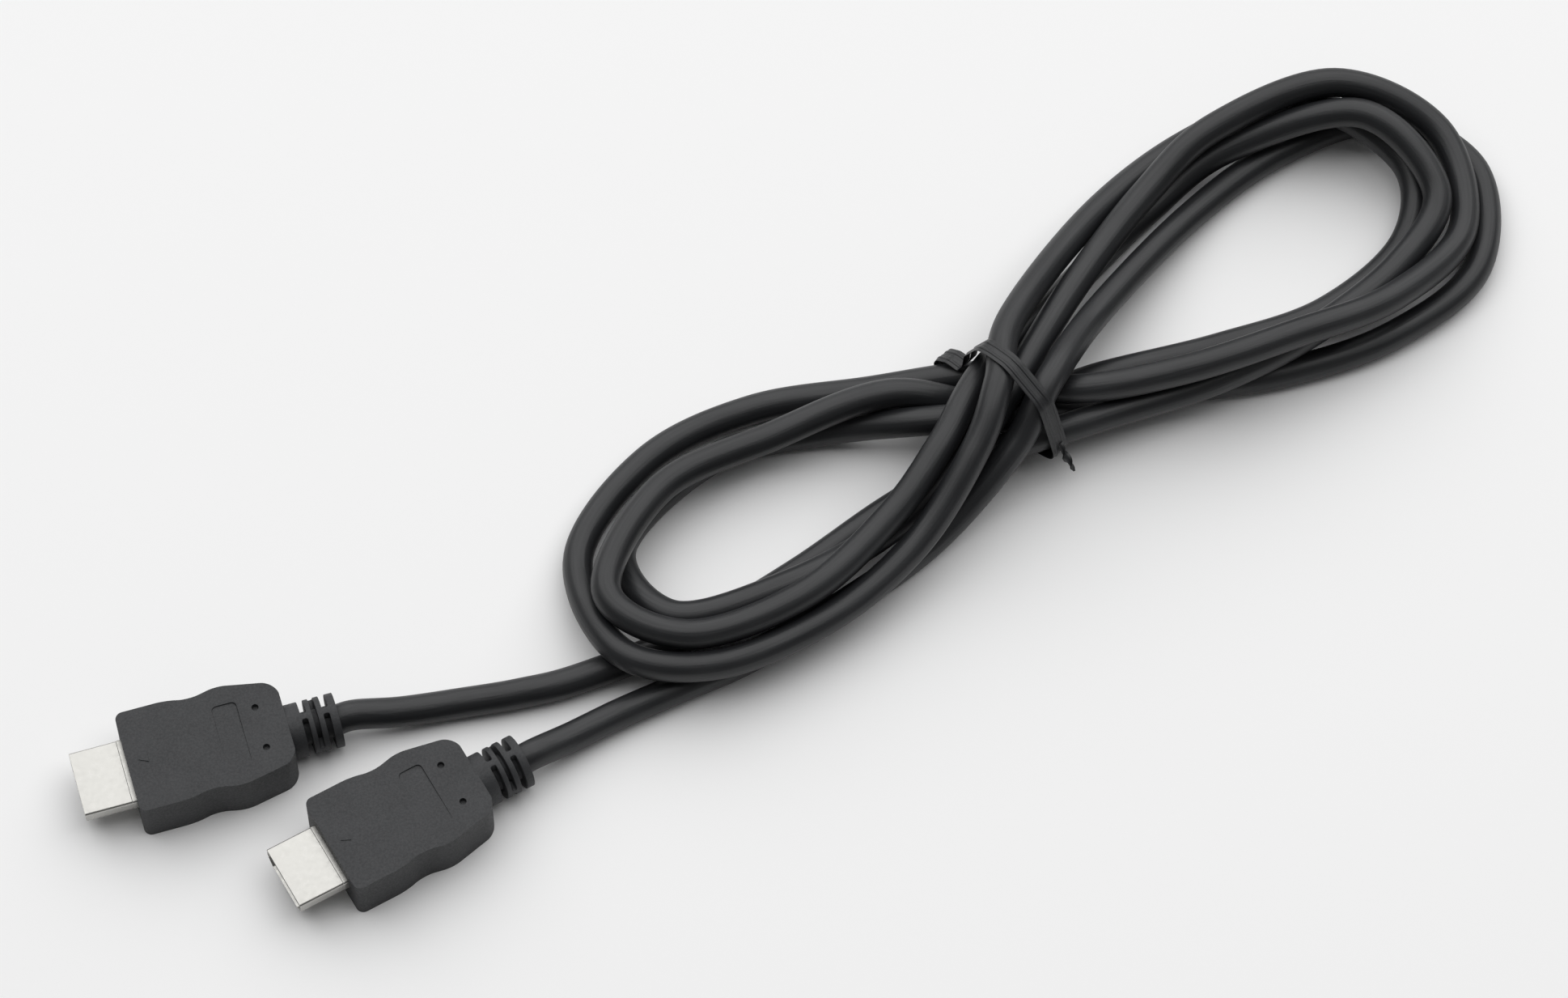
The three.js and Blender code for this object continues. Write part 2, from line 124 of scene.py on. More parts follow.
class Finish:
    """A material with one shader, and short ways to draw a pattern on it."""

    def __init__(self, name, colour, roughness, **sockets):
        self.material = bpy.data.materials.new(name)
        self.material.use_nodes = True
        self.nodes = self.material.node_tree.nodes
        self.links = self.material.node_tree.links
        self.shader = self.nodes["Principled BSDF"]
        self.shader.inputs["Base Color"].default_value = linear(colour)
        self.shader.inputs["Roughness"].default_value = roughness
        for socket, value in sockets.items():
            self.shader.inputs[socket].default_value = value

    def coordinates(self, source="Object", stretch=(1, 1, 1)):
        """Where the pattern is read, stretched along each of its ways."""
        place = self.nodes.new("ShaderNodeTexCoord")
        mapping = self.nodes.new("ShaderNodeMapping")
        mapping.inputs["Scale"].default_value = stretch
        self.links.new(place.outputs[source], mapping.inputs["Vector"])
        return mapping.outputs["Vector"]

    def noise(self, where, scale, detail=2, roughness=0.5):
        """A cloudy pattern from 0 to 1."""
        noise = self.nodes.new("ShaderNodeTexNoise")
        noise.inputs["Scale"].default_value = scale
        noise.inputs["Detail"].default_value = detail
        noise.inputs["Roughness"].default_value = roughness
        self.links.new(where, noise.inputs["Vector"])
        return noise.outputs["Fac"]

    def spread(self, value, low, high):
        """The pattern's middle values, from 0.3 to 0.7, made into values from low to high."""
        spread = self.nodes.new("ShaderNodeMapRange")
        ends = {"From Min": 0.3, "From Max": 0.7, "To Min": low, "To Max": high}
        for name, number in ends.items():
            spread.inputs[name].default_value = number
        self.links.new(value, spread.inputs["Value"])
        return spread.outputs["Result"]

    def between(self, value, dark, light):
        """A colour between two, as the pattern says."""
        mix = self.nodes.new("ShaderNodeMix")
        mix.data_type = "RGBA"
        mix.inputs["A"].default_value = linear(dark)
        mix.inputs["B"].default_value = linear(light)
        self.links.new(value, mix.inputs["Factor"])
        return mix.outputs["Result"]

    def feed(self, value, socket):
        """Gives the shader's socket the pattern."""
        self.links.new(value, self.shader.inputs[socket])

    def relief(self, value, depth, below=None):
        """Raises the surface by the pattern, on top of the relief that is below it."""
        bump = self.nodes.new("ShaderNodeBump")
        bump.inputs["Distance"].default_value = depth * MM
        self.links.new(value, bump.inputs["Height"])
        if below:
            self.links.new(below, bump.inputs["Normal"])
        return bump.outputs["Normal"]


def in_row(point):
    """A point of the millimetre frame that the route is given in, in the row frame."""
    return (Vector(point) - OUTLINE_MIDDLE) * MM


def on_plug_axis(plug, distance):
    """A point of a plug's axis, a given way behind its mouth."""
    end, turn = PLUGS[plug]
    return end + Vector((math.cos(turn), math.sin(turn), 0)) * (distance - PLUG_LENGTH)


def smooth_line(points, steps):
    """Points of one smooth curve through the given ones, with so many steps between each two."""
    ends = [2 * points[0] - points[1], *points, 2 * points[-1] - points[-2]]
    line = []
    for a, b, c, d in zip(ends, ends[1:], ends[2:], ends[3:]):
        for step in range(steps):
            t = step / steps
            bend = (2 * a - 5 * b + 4 * c - d) * t ** 2 + (3 * b - a - 3 * c + d) * t ** 3
            line.append((2 * b + (c - a) * t + bend) / 2)
    return [*line, points[-1]]


first_end = [on_plug_axis("plug_a", at) for at in (PLUG_LENGTH - CABLE_BURIED, CABLE_STRAIGHT)]
last_end = [on_plug_axis("plug_b", at) for at in (CABLE_STRAIGHT, PLUG_LENGTH - CABLE_BURIED)]
cable_line = smooth_line([in_row(point) for point in [*first_end, *ROUTE, *last_end]], ROUTE_STEPS)

curve = bpy.data.curves.new("cable_line", "CURVE")
curve.dimensions = "3D"
curve.bevel_depth = CABLE_DIAMETER / 2 * MM
curve.bevel_resolution = CABLE_ROUNDNESS
curve.use_fill_caps = True
spline = curve.splines.new("POLY")
spline.points.add(len(cable_line) - 1)
for point, at in zip(spline.points, cable_line):
    point.co = (*at, 1)
tube = bpy.data.objects.new("cable_line", curve)
bpy.context.scene.collection.objects.link(tube)
cable_mesh = bpy.data.meshes.new_from_object(tube.evaluated_get(bpy.context.evaluated_depsgraph_get()))
bpy.data.objects.remove(tube)
sealed = bmesh.new()
sealed.from_mesh(cable_mesh)
bmesh.ops.remove_doubles(sealed, verts=sealed.verts, dist=SAME_POINT * MM)
bmesh.ops.recalc_face_normals(sealed, faces=sealed.faces)
sealed.to_mesh(cable_mesh)
sealed.free()
cable_mesh.name = "cable_jacket"
cable_mesh.shade_smooth()
cable_mesh.materials.clear()
cable = bpy.data.objects.new("cable_jacket", cable_mesh)
bpy.context.scene.collection.objects.link(cable)

jacket = Finish("cable_pvc", JACKET_COLOUR, JACKET_ROUGHNESS)
jacket_drag = jacket.noise(jacket.coordinates("UV", JACKET_STRETCH), JACKET_DRAG, detail=3)
jacket_grain = jacket.noise(jacket.coordinates(), JACKET_GRAIN)
jacket_clouds = jacket.noise(jacket.coordinates(), JACKET_CLOUDS)
jacket.feed(jacket.between(jacket.spread(jacket_clouds, 0, 1), JACKET_DARK, JACKET_LIGHT), "Base Color")
jacket.feed(jacket.spread(jacket_drag, *JACKET_DULLNESS), "Roughness")
jacket_lines = jacket.relief(jacket_drag, JACKET_DRAG_DEPTH)
jacket.feed(jacket.relief(jacket_grain, JACKET_GRAIN_DEPTH, jacket_lines), "Normal")
cable_mesh.materials.append(jacket.material)
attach(cable, "root")
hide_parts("cable")

# Grips. Each is one black PVC moulding with a fine matt grain: a flat body with a waist and rounded rims,
# and behind it the strain relief, a collar and three rings on a thin sleeve, joined by ribs across the gaps.
SHELL_OUTSIDE = 10.3
GRIP_REAR = 42
GRIP_HEIGHT = 11
GRIP_RIM = 1.35
RIM_STEPS = 7
# Each corner of the outline: how far it lies behind the mouth, half the width there, the reach of its
# rounding and the steps of that.
OUTLINE_CORNERS = [
    (SHELL_OUTSIDE, 10.9, 1.55, 8), (20.4, 10.9, 1.9, 8), (24.9, 9.8, 2.1, 10),
    (30.6, 11.05, 1.8, 8), (41.6, 8.75, 2.6, 10), (GRIP_REAR, 6.2, 1.5, 6),
]
RELIEF_RADIUS = 5.4
SLEEVE_RADIUS = 3.2
RELIEF_SIDES = 80
RIB_HALF = math.pi / RELIEF_SIDES * 3
SLOT_REACH = math.pi / 2 - RIB_HALF
SLOT_FLOOR_REACH = math.pi / 2 - math.asin(RELIEF_RADIUS * math.sin(RIB_HALF) / SLEEVE_RADIUS)
RELIEF_ROOT = 39.5
RELIEF_STATIONS = [44.8, 46, 47, 48, 49.1, 50.3, PLUG_LENGTH]
# Where each gap starts, its width, and by how many degrees its two slots are turned about the axis.
GAPS = [(44.8, 1.2, 0), (47, 1, 90), (49.1, 1.2, 0)]
SLOT_END_ROUND = 0.42
RING_EDGE = 0.12
RING_EDGE_STEPS = 2
RING_EDGE_ANGLE = math.radians(40)
NEARLY = 0.01
FACE_SLACK = 0.05
ACROSS = 0.3
CABLE_HOLE = 3.06
CABLE_HOLE_DEPTH = 0.4
POCKET_DEPTH = 4.1
POCKET_MARGIN = 0.05
DIMPLES = [(36.8, 4.45), (36.8, -4.45)]
DIMPLE_SIDES = 24
DIMPLE_RADIUS = 0.6
DIMPLE_FLARE = 0.12
DIMPLE_DEPTH = 0.8
DIMPLE_OVERRUN = 0.2
PANEL = (28.5, 33.5, 6.9)
PANEL_CORNER = 1
PANEL_CORNER_STEPS = 6
PANEL_DEPTH = 0.3
PANEL_DRAFT = 0.1
PANEL_FADE = math.radians(1.17)
PANEL_LEAN = math.radians(0.9)
POINTER = (12.6, 14.4, 0.9)
POINTER_PROUD = 0.15
POINTER_SUNK = 0.3
SHELL_HALF = 6.95
SHELL_TOP = 2.225
SHELL_CUT_SIDE = -0.475
SHELL_CUT_BELOW = 5.1
SHELL_ROUND = 0.5
SHELL_CUT_ROUND = 0.45
ROUND_STEPS = 4
OVERRUN = 1
SLIVER_AREA = 0.00001
SHARP_ANGLE = math.radians(32)
GRIP_COLOUR = "2e2f31"
GRIP_DARK = "2b2c2e"
GRIP_LIGHT = "313234"
GRIP_ROUGHNESS = 0.6
GRIP_DULLNESS = (0.52, 0.7)
GRIP_COARSE = 2200
GRIP_COARSE_DEPTH = 0.04
GRIP_FINE = 5200
GRIP_FINE_DEPTH = 0.03
GRIP_UNEVEN = 0.6
GRIP_CLOUDS = 160


def without_slivers(bm):
    """Merges points that all but touch, and joins each face of no width to the face beside it."""
    bmesh.ops.remove_doubles(bm, verts=bm.verts, dist=SAME_POINT)
    slivers = [face for face in bm.faces if face.calc_area() < SLIVER_AREA]
    longest = {max(face.edges, key=lambda edge: edge.calc_length()) for face in slivers}
    bmesh.ops.dissolve_edges(bm, edges=list(longest), use_verts=False)


def rounded(bm, verts, reach, steps):
    """Rounds the corners of a flat outline."""
    bmesh.ops.bevel(
        bm, geom=verts, offset=reach, segments=steps, profile=0.5, affect="VERTICES", material=-1,
    )


def bevelled(bm, edges, width, steps):
    """Rounds the edges of a solid."""
    bmesh.ops.bevel(
        bm, geom=edges, offset=width, segments=steps, profile=0.5, affect="EDGES", material=-1,
    )


def pull(bm, faces, way, first=False):
    """Extrudes faces along a way. Only a flat outline's first pull keeps the faces that it starts from."""
    made = bmesh.ops.extrude_face_region(bm, geom=faces)["geom"]
    bmesh.ops.translate(bm, verts=[g for g in made if isinstance(g, bmesh.types.BMVert)], vec=way)
    if not first:
        bmesh.ops.delete(bm, geom=faces, context="FACES")
    return [g for g in made if isinstance(g, bmesh.types.BMFace)]


def object_of(bm, name):
    """An object at the origin of a shape that is drawn in millimetres."""
    bmesh.ops.recalc_face_normals(bm, faces=bm.faces)
    mesh = bpy.data.meshes.new(name)
    bm.to_mesh(mesh)
    bm.free()
    made = bpy.data.objects.new(name, mesh)
    bpy.context.scene.collection.objects.link(made)
    return made


def finished(made):
    """The object's mesh with its modifiers worked in. The object itself is removed."""
    mesh = bpy.data.meshes.new_from_object(made.evaluated_get(bpy.context.evaluated_depsgraph_get()))
    bpy.data.objects.remove(made)
    return mesh


def joined(made, other, how):
    """Joins two shapes, or cuts one by the other, and returns the new mesh's object."""
    modifier = made.modifiers.new(how.lower(), "BOOLEAN")
    modifier.operation = how
    modifier.solver = "EXACT"
    modifier.object = other
    name = made.name
    mesh = finished(made)
    bpy.data.objects.remove(other)
    result = bpy.data.objects.new(name, mesh)
    bpy.context.scene.collection.objects.link(result)
    return result


def grip_block():
    """The flat body, from its outline with each corner rounded by its own reach."""
    bm = bmesh.new()
    half = [(x, y) for x, y, reach, steps in OUTLINE_CORNERS]
    outline = [*half, *[(x, -y) for x, y in reversed(half)]]
    bm.faces.new([bm.verts.new((x, y, -GRIP_HEIGHT / 2)) for x, y in outline])
    for x, y, reach, steps in OUTLINE_CORNERS:
        near = [v for v in bm.verts if math.hypot(v.co.x - x, abs(v.co.y) - y) < SAME_POINT]
        rounded(bm, near, reach, steps)
    pull(bm, bm.faces[:], (0, 0, GRIP_HEIGHT), first=True)
    rims = [e for e in bm.edges if abs(e.verts[0].co.z - e.verts[1].co.z) < SAME_POINT]
    bmesh.ops.bevel(
        bm, geom=rims, offset=GRIP_RIM, segments=RIM_STEPS, profile=0.5, affect="EDGES", material=-1,
        clamp_overlap=True,
    )
    without_slivers(bm)
    return object_of(bm, "grip_block")


def from_axis(vert):
    """How far a point lies from the plug's axis."""
    return math.hypot(vert.co.y, vert.co.z)


def from_middle(at, middle):
    """The angle about the plug's axis from a middle one to a place, at most half a turn either way."""
    return (math.atan2(at.z, at.y) - middle + math.pi) % (2 * math.pi) - math.pi


def cut_slots(bm, start, width, turned):
    """Sinks the two slots of one gap from the relief's face down to the sleeve, and rounds their ends."""
    gap_middle = start + width / 2
    for middle in (math.radians(turned), math.radians(turned + 180)):
        faces = []
        for face in bm.faces:
            at = face.calc_center_median()
            in_gap = abs(at.x - gap_middle) < NEARLY and abs(face.normal.x) < ACROSS
            if in_gap and abs(from_middle(at, middle)) < SLOT_REACH:
                faces.append(face)
        made = bmesh.ops.extrude_face_region(bm, geom=faces)["geom"]
        bmesh.ops.delete(bm, geom=faces, context="FACES")
        floor_verts = [g for g in made if isinstance(g, bmesh.types.BMVert)]
        for vert in floor_verts:
            angle = middle + from_middle(vert.co, middle) * SLOT_FLOOR_REACH / SLOT_REACH
            vert.co.y = SLEEVE_RADIUS * math.cos(angle)
            vert.co.z = SLEEVE_RADIUS * math.sin(angle)
        ends = []
        for edge in bm.edges:
            inner, outer = sorted(edge.verts, key=from_axis)
            in_gap = abs(outer.co.x - gap_middle) < width / 2 + NEARLY
            at_end = in_gap and abs(from_middle(outer.co, middle)) > SLOT_REACH - NEARLY
            if at_end and inner in floor_verts and outer not in floor_verts:
                ends.append(edge)
        bevelled(bm, ends, SLOT_END_ROUND, ROUND_STEPS)


def strain_relief():
    """The collar and rings, pulled out of one round plate ring by ring, with the slots cut between them."""
    bm = bmesh.new()
    made = bmesh.ops.create_circle(bm, cap_ends=True, radius=RELIEF_RADIUS, segments=RELIEF_SIDES)
    half_side = Matrix.Rotation(math.pi / RELIEF_SIDES, 4, "Z")
    lengthwise = Matrix.Translation((RELIEF_ROOT, 0, 0)) @ Matrix.Rotation(math.pi / 2, 4, "Y")
    bmesh.ops.transform(bm, matrix=lengthwise @ half_side, verts=made["verts"])
    end = bm.faces[:]
    before = RELIEF_ROOT
    for after in RELIEF_STATIONS:
        end = pull(bm, end, (after - before, 0, 0), first=before == RELIEF_ROOT)
        before = after
    bmesh.ops.recalc_face_normals(bm, faces=bm.faces)
    for gap in GAPS:
        cut_slots(bm, *gap)
    without_slivers(bm)
    bmesh.ops.recalc_face_normals(bm, faces=bm.faces)
    sharp = []
    for edge in bm.edges:
        on_face = all(from_axis(vert) > RELIEF_RADIUS - FACE_SLACK for vert in edge.verts)
        past_root = edge.verts[0].co.x > RELIEF_ROOT + RING_EDGE
        if on_face and past_root and edge.is_manifold and edge.calc_face_angle() > RING_EDGE_ANGLE:
            sharp.append(edge)
    bevelled(bm, sharp, RING_EDGE, RING_EDGE_STEPS)
    end = [max(bm.faces, key=lambda face: face.calc_center_median().x)]
    hole_rim = RELIEF_RADIUS - RING_EDGE - CABLE_HOLE
    bmesh.ops.inset_region(bm, faces=end, thickness=hole_rim, use_even_offset=True)
    end = [max(bm.faces, key=lambda face: (round(face.calc_center_median().x, 3), len(face.verts)))]
    pull(bm, end, (-CABLE_HOLE_DEPTH, 0, 0))
    without_slivers(bm)
    return object_of(bm, "strain_relief")


def shell_outline(bm, at, margin, steps):
    """The shell's section at one place along the plug, grown by a margin, with its corners rounded."""
    cut_margin = margin / 3
    right = [
        (SHELL_HALF + margin, SHELL_TOP + margin),
        (SHELL_HALF + margin, SHELL_CUT_SIDE - cut_margin),
        (SHELL_CUT_BELOW + cut_margin, -SHELL_TOP - margin),
    ]
    left = [(-y, z) for y, z in reversed(right)]
    verts = [bm.verts.new((at, y, z)) for y, z in [*right, *left]]
    bm.faces.new(verts)
    tops = [v for v in verts if v.co.z > 0]
    others = [v for v in verts if v.co.z < 0]
    rounded(bm, tops, SHELL_ROUND, steps)
    rounded(bm, others, SHELL_CUT_ROUND, steps)


def panel_plate():
    """What is cut away for the panel: a plate with drafted walls, leaning so that its front fades out."""
    front, rear, half = PANEL
    plate = bmesh.new()
    outline = [(front, -half, 0), (rear, -half, 0), (rear, half, 0), (front, half, 0)]
    plate.faces.new([plate.verts.new(at) for at in outline])
    rounded(plate, plate.verts[:], PANEL_CORNER, PANEL_CORNER_STEPS)
    top = pull(plate, plate.faces[:], (0, 0, PANEL_DEPTH), first=True)
    middle = Matrix.Translation(((front + rear) / 2, 0, 0))
    shrink = Matrix.Diagonal((1 - 2 * PANEL_DRAFT / (rear - front), 1 - PANEL_DRAFT / half, 1, 1))
    lowest = [v for v in plate.verts if v.co.z < PANEL_DEPTH / 2]
    bmesh.ops.transform(plate, matrix=middle @ shrink @ middle.inverted(), verts=lowest)
    pull(plate, top, (0, 0, OVERRUN))
    lean = Matrix.Rotation(PANEL_FADE, 4, "Y") @ Matrix.Rotation(-PANEL_LEAN, 4, "X")
    corner = Matrix.Translation((rear, half, 0))
    seat = Matrix.Translation((0, 0, GRIP_HEIGHT / 2 - PANEL_DEPTH))
    bmesh.ops.transform(plate, matrix=seat @ corner @ lean @ corner.inverted(), verts=plate.verts)
    mesh = bpy.data.meshes.new("panel_plate")
    plate.to_mesh(mesh)
    plate.free()
    return mesh


def grip_cutters():
    """All that is cut out of the grip: the shell's pocket, the two dimples and the panel."""
    bm = bmesh.new()
    shell_outline(bm, SHELL_OUTSIDE - OVERRUN, POCKET_MARGIN, ROUND_STEPS)
    pull(bm, bm.faces[:], (OVERRUN + POCKET_DEPTH, 0, 0), first=True)
    for x, y in DIMPLES:
        bmesh.ops.create_cone(
            bm, cap_ends=True, segments=DIMPLE_SIDES, radius1=DIMPLE_RADIUS,
            radius2=DIMPLE_RADIUS + DIMPLE_FLARE, depth=DIMPLE_DEPTH + DIMPLE_OVERRUN,
            matrix=Matrix.Translation((x, y, (GRIP_HEIGHT - DIMPLE_DEPTH) / 2)),
        )
    bm.from_mesh(panel_plate())
    return object_of(bm, "grip_cutters")


def pointer():
    """The small raised triangle on top of the grip."""
    tip, back, half = POINTER
    bm = bmesh.new()
    base = [(tip, 0), (back, -half), (back, half)]
    bm.faces.new([bm.verts.new((x, y, GRIP_HEIGHT / 2 - POINTER_SUNK)) for x, y in base])
    pull(bm, bm.faces[:], (0, 0, POINTER_SUNK + POINTER_PROUD), first=True)
    return object_of(bm, "pointer")


def plug_place(plug):
    """Brings a shape drawn in millimetres along a plug's own axis to where the plug lies in the row frame."""
    end, turn = PLUGS[plug]
    laid = Matrix.Translation(end - OUTLINE_MIDDLE) @ Matrix.Rotation(turn, 4, "Z")
    return Matrix.Scale(MM, 4) @ laid @ Matrix.Translation((-PLUG_LENGTH, 0, 0))


def piece_of(mesh, name, place, material, node):
    """A finished piece at the origin, riding on the lead's one body in place of its node."""
    mesh = mesh.copy()
    mesh.name = name
    mesh.transform(place)
    mesh.shade_smooth()
    mesh.set_sharp_from_angle(angle=SHARP_ANGLE)
    mesh.materials.clear()
    mesh.materials.append(material)
    piece = bpy.data.objects.new(name, mesh)
    bpy.context.scene.collection.objects.link(piece)
    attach(piece, "root")
    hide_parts(node)
    return piece


moulding = Finish("grip_pvc", GRIP_COLOUR, GRIP_ROUGHNESS)
grip_coarse = moulding.noise(moulding.coordinates(), GRIP_COARSE, roughness=GRIP_UNEVEN)
grip_fine = moulding.noise(moulding.coordinates(), GRIP_FINE, roughness=GRIP_UNEVEN)
grip_clouds = moulding.noise(moulding.coordinates(), GRIP_CLOUDS, detail=3)
moulding.feed(moulding.between(moulding.spread(grip_clouds, 0, 1), GRIP_DARK, GRIP_LIGHT), "Base Color")
moulding.feed(moulding.spread(grip_coarse, *GRIP_DULLNESS), "Roughness")
grip_grain = moulding.relief(grip_coarse, GRIP_COARSE_DEPTH)
moulding.feed(moulding.relief(grip_fine, GRIP_FINE_DEPTH, grip_grain), "Normal")

grip = joined(grip_block(), strain_relief(), "UNION")
grip = joined(grip, grip_cutters(), "DIFFERENCE")
grip_mesh = finished(joined(grip, pointer(), "UNION"))
for plug in PLUGS:
    piece_of(
        grip_mesh, f"{plug}_moulding", plug_place(plug), moulding.material, f"{plug}_grip",
    )

# Shells. Each is a nickel-plated steel sheet, 0.3 mm thick, folded into a tube with its two lower corners
# cut off. A low collar runs round it where it enters the grip.
SHELL_SHEET = 0.3
SHELL_BURIED = 3.8
SHELL_ROUND_STEPS = 6
COLLAR_FRONT = 9.32
COLLAR_STEP = 0.1
COLLAR_PROUD = 0.075
MOUTH_EDGE = 0.07
MOUTH_EDGE_STEPS = 2
MOUTH_EDGE_ANGLE = math.radians(60)
PLATING_COLOUR = "b9b8b4"
PLATING_ROUGHNESS = 0.28
PLATING_DULLNESS = (0.26, 0.4)
PLATING_GRAIN = 900
PLATING_GRAIN_DEPTH = 0.004
PLATING_UNEVEN = 0.6


def shell_tube():
    """The folded sheet, drawn as its outer face and then given its thickness inwards."""
    bm = bmesh.new()
    shell_outline(bm, 0, 0, SHELL_ROUND_STEPS)
    end = pull(bm, bm.faces[:], (COLLAR_FRONT, 0, 0), first=True)
    end = pull(bm, end, (COLLAR_STEP, 0, 0))
    grow = Matrix.Diagonal((1, 1 + COLLAR_PROUD / SHELL_HALF, 1 + COLLAR_PROUD / SHELL_TOP, 1))
    bmesh.ops.transform(bm, matrix=grow, verts=list({v for face in end for v in face.verts}))
    pull(bm, end, (SHELL_OUTSIDE + SHELL_BURIED - COLLAR_FRONT - COLLAR_STEP, 0, 0))
    caps = [face for face in bm.faces if len({round(v.co.x, 3) for v in face.verts}) == 1]
    bmesh.ops.delete(bm, geom=caps, context="FACES_ONLY")
    made = object_of(bm, "shell_tube")
    sheet = made.modifiers.new("sheet", "SOLIDIFY")
    sheet.thickness = SHELL_SHEET
    sheet.offset = -1
    sheet.use_even_offset = True
    edge = made.modifiers.new("edge", "BEVEL")
    edge.width = MOUTH_EDGE
    edge.segments = MOUTH_EDGE_STEPS
    edge.limit_method = "ANGLE"
    edge.angle_limit = MOUTH_EDGE_ANGLE
    return finished(made)


plating = Finish("plated_steel", PLATING_COLOUR, PLATING_ROUGHNESS, Metallic=1)
plating_grain = plating.noise(plating.coordinates(), PLATING_GRAIN, detail=3, roughness=PLATING_UNEVEN)
plating.feed(plating.spread(plating_grain, *PLATING_DULLNESS), "Roughness")
plating.feed(plating.relief(plating_grain, PLATING_GRAIN_DEPTH), "Normal")
shell_mesh = shell_tube()
for plug in PLUGS:
    piece_of(
        shell_mesh, f"{plug}_tube", plug_place(plug), plating.material, f"{plug}_shell",
    )

# Insulators. Each is a black plastic block pressed into the shell, with a slot for the socket's tongue.
# The shell's mouth stands a little in front of it.
INSULATOR_FRONT = 0.5
INSULATOR_LENGTH = 11.5
INSULATOR_PLAY = 0.06
SLOT = (5.8, 0.95, 8)
INSULATING_COLOUR = "141517"
INSULATING_ROUGHNESS = 0.45
INSULATING_DULLNESS = (0.38, 0.52)
INSULATING_GRAIN = 2500


def insulator_block():
    """The block, as the shell's section made smaller, with the slot cut into its front."""
    bm = bmesh.new()
    shell_outline(bm, INSULATOR_FRONT, -SHELL_SHEET - INSULATOR_PLAY, ROUND_STEPS)
    pull(bm, bm.faces[:], (INSULATOR_LENGTH, 0, 0), first=True)
    block = object_of(bm, "insulator_block")
    half_width, half_height, depth = SLOT
    cutter = bmesh.new()
    size = Matrix.Diagonal((2 * depth, 2 * half_width, 2 * half_height, 1))
    bmesh.ops.create_cube(cutter, size=1, matrix=Matrix.Translation((INSULATOR_FRONT, 0, 0)) @ size)
    return finished(joined(block, object_of(cutter, "slot"), "DIFFERENCE"))


insulating = Finish("insulator_plastic", INSULATING_COLOUR, INSULATING_ROUGHNESS)
insulating_grain = insulating.noise(insulating.coordinates(), INSULATING_GRAIN)
insulating.feed(insulating.spread(insulating_grain, *INSULATING_DULLNESS), "Roughness")
insulator_mesh = insulator_block()
for plug in PLUGS:
    piece_of(
        insulator_mesh, f"{plug}_block", plug_place(plug), insulating.material,
        f"{plug}_insulator",
    )

# Contacts. Nineteen stamped strips of gold-plated bronze line each slot, in two staggered rows, and each
# one's front end is turned into the wall so that the tongue can't catch it.
CONTACT_COUNT = 19
CONTACT_PITCH = 0.5
CONTACT_LENGTH = 6.6
CONTACT_WIDTH = 0.34
CONTACT_THICKNESS = 0.16
CONTACT_FRONT = 1.6
CONTACT_HEIGHT = 0.83
CONTACT_EDGE = 0.03
CONTACT_EDGE_STEPS = 2
CONTACT_CUTS = 12
TURNED_LENGTH = 1
TURNED_RISE = 0.1
TURNED_WIDTH = 0.6
GILDING_COLOUR = "e0b050"
GILDING_ROUGHNESS = 0.25
GILDING_DULLNESS = (0.2, 0.36)
GILDING_WEAR = 3000


def lengthwise_edges(bm):
    """The edges that run along a strip."""
    return [e for e in bm.edges if abs(e.verts[0].co.x - e.verts[1].co.x) > CONTACT_LENGTH / 2]


def contact_strip():
    """One strip of the upper row about its own middle, its front narrowed and turned up."""
    bm = bmesh.new()
    size = Matrix.Diagonal((CONTACT_LENGTH, CONTACT_WIDTH, CONTACT_THICKNESS, 1))
    bmesh.ops.create_cube(bm, size=1, matrix=size)
    bevelled(bm, lengthwise_edges(bm), CONTACT_EDGE, CONTACT_EDGE_STEPS)
    bmesh.ops.subdivide_edges(bm, edges=lengthwise_edges(bm), cuts=CONTACT_CUTS, use_grid_fill=True)
    for vert in bm.verts:
        from_front = (vert.co.x + CONTACT_LENGTH / 2) / TURNED_LENGTH
        if from_front < 1:
            vert.co.z += TURNED_RISE * (1 - from_front) ** 2
            vert.co.y *= TURNED_WIDTH + (1 - TURNED_WIDTH) * from_front
    return finished(object_of(bm, "contact_strip"))


gilding = Finish("contact_gold", GILDING_COLOUR, GILDING_ROUGHNESS, Metallic=1)
gilding_wear = gilding.noise(gilding.coordinates(), GILDING_WEAR)
gilding.feed(gilding.spread(gilding_wear, *GILDING_DULLNESS), "Roughness")
contact_mesh = contact_strip()
contacts = {}
for plug in PLUGS:
    contacts[plug] = []
    for index in range(CONTACT_COUNT):
        lower_row = index % 2
        side = (index - (CONTACT_COUNT - 1) / 2) * CONTACT_PITCH
        height = -CONTACT_HEIGHT if lower_row else CONTACT_HEIGHT
        seat = Matrix.Translation((CONTACT_FRONT + CONTACT_LENGTH / 2, side, height))
        turned_over = Matrix.Rotation(math.pi * lower_row, 4, "X")
        number = f"{index + 1:02}"
        contacts[plug].append(piece_of(
            contact_mesh, f"{plug}_strip_{number}", plug_place(plug) @ seat @ turned_over, gilding.material,
            f"{plug}_contact_{number}",
        ))

# Twist tie. A flat ribbon of black PVC with a steel wire in its middle, wound twice round the crossing
# strands. The second turn laps over the first one's edge, and the two ends are twisted together at the side.
TIE_MIDDLE = Vector((45.8, 15.8, 0))
TIE_TURN = math.radians(-44)
